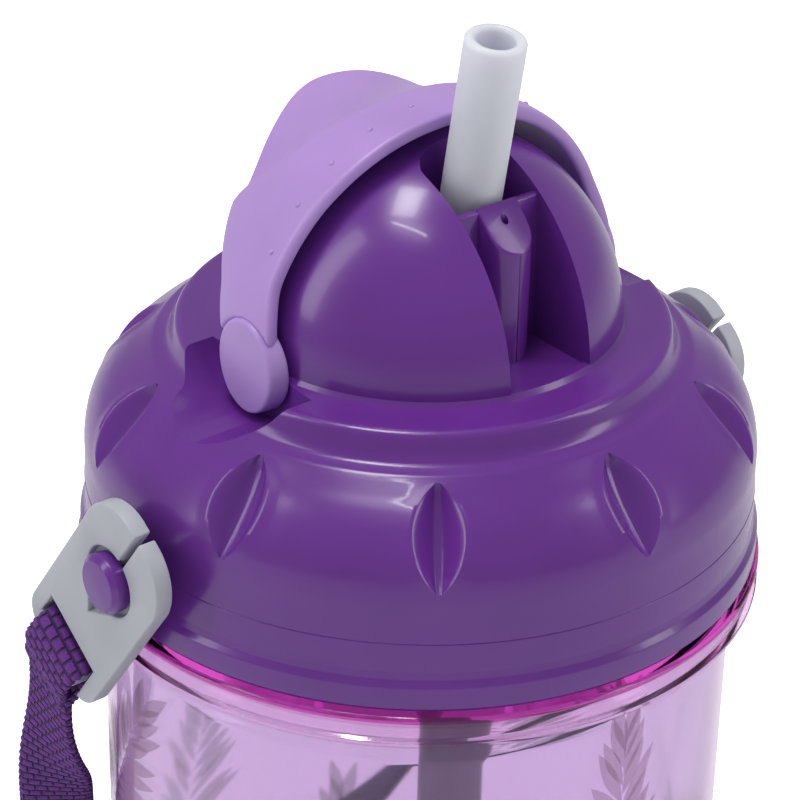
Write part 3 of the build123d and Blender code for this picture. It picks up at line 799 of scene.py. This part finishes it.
# %% Bosses and trunnions
def disc_along_x(name, side, outline, columns=72, centre=(0.0, PIVOT_Z), narrow=0.16):
    """Turn an outline of (distance from the axis, |x|) about a line along X; its face is a little oval."""
    angles = np.linspace(0, 2 * pi, columns, endpoint=False)
    outline = np.asarray(outline, float)
    points = np.empty((len(outline), columns, 3))
    points[..., 0] = side * outline[:, None, 1]
    oval = 1 - narrow * np.clip((outline[:, None, 1] - 25.4) / 2.6, 0, 1)
    points[..., 1] = centre[0] + outline[:, None, 0] * np.cos(angles) * oval
    points[..., 2] = centre[1] + outline[:, None, 0] * np.sin(angles)
    return face_outwards(mesh_from(name, points, grid_faces(len(outline), columns, False, True)))


boss_outline = fillet_corners(
    [(0.02, 23.7), (2.0, 23.7), (2.0, 25.4), (6.1, 25.4), (6.15, 28.0), (0.02, 28.15)],
    [0.3, 0.1, 0.6, 0.5], 4)
for side, side_name in ((-1, "left"), (1, "right")):
    boss = add_object(f"cover_boss_{side_name}", disc_along_x("boss", side, boss_outline), cover_lilac, 50)
    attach(boss, "visor")
print("bosses ready")

# %% Pips along the cover
def node_tree(name, sockets):
    """A Geometry Nodes group with its inputs; returns helpers that add nodes and maths to it."""
    group = bpy.data.node_groups.new(name, "GeometryNodeTree")
    group.interface.new_socket("Geometry", in_out="OUTPUT", socket_type="NodeSocketGeometry")
    for label, kind, value in sockets:
        socket = group.interface.new_socket(label, in_out="INPUT", socket_type=kind)
        if value is not None:
            socket.default_value = value
    start, end = group.nodes.new("NodeGroupInput"), group.nodes.new("NodeGroupOutput")

    def feed(target, value):
        if isinstance(value, bpy.types.NodeSocket):
            group.links.new(value, target)
        else:
            target.default_value = value

    def add(kind, **inputs):
        node = group.nodes.new(kind)
        for label, value in inputs.items():
            feed(node.inputs[label.replace("_", " ")], value)
        return node

    def maths(operation, a, b=0.0):
        node = group.nodes.new("ShaderNodeMath")
        node.operation = operation
        for target, value in zip(node.inputs, (a, b)):
            feed(target, value)
        return node.outputs[0]

    return group, start.outputs, end.inputs, add, maths


def run_nodes(name, group, values, material):
    holder = add_object(name, bpy.data.meshes.new(name))
    change = holder.modifiers.new("nodes", "NODES")
    change.node_group = group
    for item in group.interface.items_tree:
        if item.in_out == "INPUT" and item.name in values:
            change[item.identifier] = values[item.name]
    mesh = baked(holder)
    mesh.name = name
    return add_object(name, mesh, material)


def build_pips():
    group, given, out, add, maths = node_tree("cover_pips", [
        ("Count", "NodeSocketInt", 10), ("Arc", "NodeSocketFloat", 2.06),
        ("Ball", "NodeSocketFloat", 0.02798), ("Behind", "NodeSocketFloat", 0.0005),
        ("Centre", "NodeSocketFloat", 0.144), ("Size", "NodeSocketFloat", 0.00045),
        ("Finish", "NodeSocketMaterial", None)])
    row = add("GeometryNodeMeshLine", Count=given["Count"])
    index = add("GeometryNodeInputIndex").outputs[0]
    last = maths("SUBTRACT", given["Count"], 1.0)
    angle = maths("MULTIPLY", maths("SUBTRACT", maths("DIVIDE", index, last), 0.5), given["Arc"])
    place = add("ShaderNodeCombineXYZ", X=maths("MULTIPLY", given["Ball"], maths("SINE", angle)),
                Y=maths("MULTIPLY", given["Behind"], -1.0),
                Z=maths("ADD", given["Centre"], maths("MULTIPLY", given["Ball"], maths("COSINE", angle))))
    moved = add("GeometryNodeSetPosition", Geometry=row.outputs[0], Position=place.outputs[0])
    pip = add("GeometryNodeMeshUVSphere", Segments=12, Rings=8, Radius=given["Size"])
    copies = add("GeometryNodeInstanceOnPoints", Points=moved.outputs[0], Instance=pip.outputs["Mesh"])
    real = add("GeometryNodeRealizeInstances", Geometry=copies.outputs[0])
    done = add("GeometryNodeSetMaterial", Geometry=real.outputs[0], Material=given["Finish"])
    group.links.new(done.outputs[0], out[0])
    return group


pips = run_nodes("cover_pips", build_pips(), {"Count": 10, "Finish": cover_lilac}, cover_lilac)
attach(pips, "visor")
print("pips", len(pips.data.polygons))

# %% [markdown]
# ## The soft straw
# A silicone tube stands in the slot, leans forward and ends in a rounded mouth. It is swept along
# a smooth line, which bends smoothly across the hinge.

# %% Straw
STRAW_R, STRAW_BORE, STRAW_Y = 3.8, 2.45, -7.95
lean = radians(9.6)
straw_line = [(0, LEDGE - 2), (0, LEDGE + 8), (0, RIM + 46), (3, RIM + 50.2), (13, RIM + 60.2),
              (24.85, RIM + 72)]
straw_axis = smooth_line([(0, STRAW_Y - reach * sin(lean), height) for reach, height in straw_line], 10)


def swept_tube(name, axis, outer, bore, columns=64):
    tangents = np.gradient(axis, axis=0)
    tangents /= np.linalg.norm(tangents, axis=1)[:, None]
    side = np.array([1.0, 0, 0])
    angles = np.linspace(0, 2 * pi, columns, endpoint=False)
    rings = []

    def ring(k, radius, push=0.0):
        other = np.cross(tangents[k], side)
        centre = axis[k] + tangents[k] * push
        return centre + radius * (np.cos(angles)[:, None] * side + np.sin(angles)[:, None] * other)

    for k in range(len(axis)):
        rings.append(ring(k, outer))
    last = len(axis) - 1
    middle, lip = (outer + bore) / 2, (outer - bore) / 2
    for t in np.linspace(0.2, pi - 0.2, 7):
        rings.append(ring(last, middle + lip * cos(t), lip * 0.8 * sin(t)))
    for k in range(last, -1, -1):
        rings.append(ring(k, bore))
    mesh = mesh_from(name, np.array(rings), grid_faces(len(rings), columns, True, True))
    return face_outwards(mesh)


straw_axis[-1] -= np.array([0, -sin(lean), cos(lean)]) * 0.6
straw_mesh = swept_tube("drinking_straw", straw_axis, STRAW_R, STRAW_BORE)
straw = add_object("drinking_straw", straw_mesh, silicone)
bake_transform(straw)
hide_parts("straw_tip")
print("straw faces", len(straw_mesh.polygons))

# %% [markdown]
# ## The print on the body
# Plumes are printed round the body: each is a stem with narrow leaflets on both sides. They are laid
# out flat by Geometry Nodes and then wrapped about the wall. Their real drawing is a guess.

# %% Plumes
def build_plumes():
    group, given, out, add, maths = node_tree("plume_print", [
        ("Plumes", "NodeSocketInt", 9), ("Leaflets", "NodeSocketInt", 26), ("Seed", "NodeSocketInt", 4),
        ("Wall", "NodeSocketFloat", 0.04138), ("Top", "NodeSocketFloat", 0.1015),
        ("Drop", "NodeSocketFloat", 0.03), ("Stem", "NodeSocketFloat", 0.034),
        ("Leaflet Length", "NodeSocketFloat", 0.0125), ("Leaflet Width", "NodeSocketFloat", 0.0021),
        ("Ink", "NodeSocketMaterial", None)])
    row = add("GeometryNodeMeshLine", Count=maths("MULTIPLY", given["Plumes"], given["Leaflets"]))
    index = add("GeometryNodeInputIndex").outputs[0]
    plume = maths("FLOOR", maths("DIVIDE", index, given["Leaflets"]))
    order = maths("SUBTRACT", index, maths("MULTIPLY", plume, given["Leaflets"]))
    side = maths("SUBTRACT", maths("MULTIPLY", maths("MODULO", order, 2.0), 2.0), 1.0)
    along = maths("DIVIDE", order, given["Leaflets"])

    def chance(identifier, low, high):
        """A random number for each leaflet, from the node's float sockets."""
        node = group.nodes.new("FunctionNodeRandomValue")
        floats = {socket.name: socket for socket in node.inputs if socket.type == "VALUE"}
        floats["Min"].default_value, floats["Max"].default_value = low, high
        group.links.new(identifier, node.inputs["ID"])
        group.links.new(given["Seed"], node.inputs["Seed"])
        return [socket for socket in node.outputs if socket.type == "VALUE"][0]

    tilt = maths("MULTIPLY", maths("SINE", maths("MULTIPLY", plume, 2.4)), 0.55)
    spread = maths("DIVIDE", maths("MULTIPLY", given["Wall"], 6.2832), given["Plumes"])
    rise = maths("MULTIPLY", along, given["Stem"])
    level = maths("MULTIPLY", maths("MODULO", maths("MULTIPLY", plume, 5.0), 3.0), given["Drop"])
    sheet_x = maths("ADD", maths("MULTIPLY", plume, spread), maths("MULTIPLY", rise, maths("SINE", tilt)))
    sheet_z = maths("ADD", maths("SUBTRACT", maths("SUBTRACT", given["Top"], level), given["Stem"]),
                    maths("MULTIPLY", rise, maths("COSINE", tilt)))
    place = add("ShaderNodeCombineXYZ", X=sheet_x, Z=sheet_z)
    stems = add("GeometryNodeSetPosition", Geometry=row.outputs[0], Position=place.outputs[0])
    blade = add("GeometryNodeMeshGrid", Size_X=1.0, Size_Y=1.0, Vertices_X=3, Vertices_Y=9)
    corner = add("ShaderNodeSeparateXYZ", Vector=add("GeometryNodeInputPosition").outputs[0])
    from_middle = maths("ABSOLUTE", maths("MULTIPLY", corner.outputs["Y"], 2.0))
    taper = maths("SUBTRACT", 1.02, maths("POWER", from_middle, 1.7))
    half_width = maths("MULTIPLY", corner.outputs["X"], taper)
    leaf_place = add("ShaderNodeCombineXYZ", X=maths("MULTIPLY", half_width, given["Leaflet Width"]),
                     Z=maths("MULTIPLY", maths("ADD", corner.outputs["Y"], 0.5), given["Leaflet Length"]))
    leaf = add("GeometryNodeSetPosition", Geometry=blade.outputs["Mesh"], Position=leaf_place.outputs[0])
    turn = maths("MULTIPLY", side, maths("SUBTRACT", 1.15, maths("MULTIPLY", along, 0.95)))
    facing = add("ShaderNodeCombineXYZ", Y=maths("ADD", turn, maths("ADD", tilt, chance(index, -0.12, 0.12))))
    size = maths("MULTIPLY", chance(index, 0.8, 1.15), maths("SUBTRACT", 1.1, maths("MULTIPLY", along, 0.5)))
    scale = add("ShaderNodeCombineXYZ", X=1.0, Y=1.0, Z=size)
    copies = add("GeometryNodeInstanceOnPoints", Points=stems.outputs[0], Instance=leaf.outputs[0],
                 Rotation=facing.outputs[0], Scale=scale.outputs[0])
    real = add("GeometryNodeRealizeInstances", Geometry=copies.outputs[0])
    flat = add("ShaderNodeSeparateXYZ", Vector=add("GeometryNodeInputPosition").outputs[0])
    angle = maths("DIVIDE", flat.outputs["X"], given["Wall"])
    wrapped = add("ShaderNodeCombineXYZ", X=maths("MULTIPLY", maths("SINE", angle), given["Wall"]),
                  Y=maths("MULTIPLY", maths("COSINE", angle), maths("MULTIPLY", given["Wall"], -1.0)),
                  Z=flat.outputs["Z"])
    bent = add("GeometryNodeSetPosition", Geometry=real.outputs[0], Position=wrapped.outputs[0])
    done = add("GeometryNodeSetMaterial", Geometry=bent.outputs[0], Material=given["Ink"])
    group.links.new(done.outputs[0], out[0])
    return group


plumes = run_nodes("plume_print", build_plumes(), {"Ink": print_ink}, print_ink)
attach(plumes, "bottle")
print("plume faces", len(plumes.data.polygons))

# %% [markdown]
# ## Clips
# Each clip is a flat spring plate. Its CAD outline is right, so a copy of it is joined up, its flat
# faces are made whole again and all its edges are rounded.


# %% Clips with rounded edges
def rounded_copy(node, name, material, offset=0.5, segments=3, sharp=28):
    work = bmesh.new()
    work.from_mesh(bpy.data.objects[node].data)
    bmesh.ops.remove_doubles(work, verts=work.verts, dist=2e-6)
    bmesh.ops.dissolve_limit(work, angle_limit=radians(3), verts=work.verts, edges=work.edges)
    edges = [edge for edge in work.edges if len(edge.link_faces) == 2
             and edge.calc_face_angle(0) > radians(sharp)]
    bmesh.ops.bevel(work, geom=edges, offset=offset * MM, segments=segments, profile=0.5, affect="EDGES",
                    clamp_overlap=True)
    mesh = bpy.data.meshes.new(name)
    work.to_mesh(mesh)
    work.free()
    return add_object(name, mesh, material, smooth_angle=40)


PEG_Z = RIM + 9.0
peg_outline = fillet_corners(
    [(0.02, 41.6), (2.5, 41.6), (2.5, 47.55), (3.9, 47.55), (3.9, 49.3), (3.2, 49.95), (0.02, 50.05)],
    [0, 0.2, 0.3, 0.4, 0.4], 4)
for side, side_name in ((-1, "left"), (1, "right")):
    clip = rounded_copy(f"clip_{side_name}", f"clip_plate_{side_name}", clip_white, 0.6)
    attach(clip, f"clip_{side_name}")
    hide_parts(f"clip_{side_name}")
    peg_mesh = disc_along_x("peg", side, peg_outline, 64, (0.0, PEG_Z), narrow=0)
    peg = add_object(f"peg_head_{side_name}", peg_mesh, cap_purple, 50)
    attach(peg, "cap")
    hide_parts(f"peg_{side_name}")
print("clips and pegs ready")

# %% [markdown]
# ## The sewn loops
# The webbing comes up over the front of the hook's bar, through the slot, round the bar and down
# behind it, where both layers are sewn together.

# %% Loops through the clips
loop_profile = [(28.2, 47.75), (25.8, 48.3), (23.2, 49.35), (20.8, 49.5), (19.0, 49.3), (17.9, 48.5),
                (17.5, 47.1), (17.9, 45.7), (19.0, 44.95), (20.8, 44.8), (23.2, 44.95), (25.8, 45.9),
                (28.2, 46.35)]
for side, side_name in ((-1, "left"), (1, "right")):
    places = [np.array((side * x, 0, PEG_Z)) + clip_down * u for u, x in loop_profile]
    line = smooth_line(places, 8) * MM
    loop = webbing_band(f"webbing_loop_{side_name}", line, lambda tangent, place: clip_across, thickness=1.6)
    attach(loop, f"clip_{side_name}")
    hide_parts(f"strap_loop_{side_name}")
print("loops ready")

# %% [markdown]
# ## The rest of the CAD pieces
# Hidden pieces keep their CAD shape and get a finish.

# %% Finishes for CAD nodes
for node, material in (("sealing_ring", silicone), ("cap_collar", cap_purple), ("straw_base", silicone),
                       ("straw_tube", inner_tube), ("vent_valve", silicone)):
    finishes = bpy.data.objects[node].data.materials
    finishes.clear()
    finishes.append(material)
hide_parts("cap_collar")
print("finished")

# %% [markdown]
# ## Floor and light
# A pale floor, large soft lights and one narrow light for a bright streak, as in a small studio.

# %% Stage
FLOOR = 3000
floor_corners = [(-FLOOR, -FLOOR, 0), (FLOOR, -FLOOR, 0), (FLOOR, FLOOR, 0), (-FLOOR, FLOOR, 0)]
floor_mesh = mesh_from("floor", floor_corners, [[0, 1, 2, 3]])
floor_paint = moulded("floor_paint", (0.86, 0.86, 0.87), 0.7, variation=0.0, bump=0.0)
floor_shader = floor_paint.node_tree.nodes["Principled BSDF"]
glow_nodes, glow_links = floor_paint.node_tree.nodes, floor_paint.node_tree.links
rays = glow_nodes.new("ShaderNodeLightPath")
seen = glow_nodes.new("ShaderNodeMath")
seen.operation = "MAXIMUM"
glow_links.new(rays.outputs["Is Camera Ray"], seen.inputs[0])
glow_links.new(rays.outputs["Is Transmission Ray"], seen.inputs[1])
glow = glow_nodes.new("ShaderNodeMix")
glow.data_type = "RGBA"
set_inputs(glow, {"A": (0.10, 0.10, 0.10, 1), "B": (0.85, 0.85, 0.85, 1)})
glow_links.new(seen.outputs[0], glow.inputs["Factor"])
glow_links.new(glow.outputs["Result"], floor_shader.inputs["Emission Color"])
floor_shader.inputs["Emission Strength"].default_value = 1.0
floor_piece = add_object("floor", floor_mesh, floor_paint)


def soft_light(name, place, aim, size, power):
    lamp = bpy.data.lights.new(name, "AREA")
    lamp.shape = "RECTANGLE"
    lamp.size, lamp.size_y = size
    lamp.energy = power
    holder = bpy.data.objects.new(name, lamp)
    bpy.context.collection.objects.link(holder)
    direction = Vector(aim) - Vector(place)
    holder.matrix_world = Matrix.Translation(place) @ direction.to_track_quat("-Z", "Y").to_matrix().to_4x4()
    return holder


lights = [
    soft_light("left_light", (-0.95, 0.35, 0.75), (0, 0, 0.14), (0.25, 1.1), 3.6),
    soft_light("right_light", (0.75, -0.85, 0.7), (0, 0, 0.14), (0.25, 1.1), 3.8),
    soft_light("streak_light", (-0.26, -0.10, 1.05), (0, 0, 0.16), (0.34, 0.02), 0.9),
    soft_light("top_light", (-0.1, 0.15, 1.3), (0, 0, 0.15), (0.4, 0.25), 5.0),
]
world = bpy.data.worlds.new("studio")
bpy.context.scene.world = world
world.use_nodes = True
set_inputs(world.node_tree.nodes["Background"], {"Color": (1, 1, 1, 1), "Strength": 0.36})
bpy.context.scene.view_settings.view_transform = "Standard"
print("stage ready")
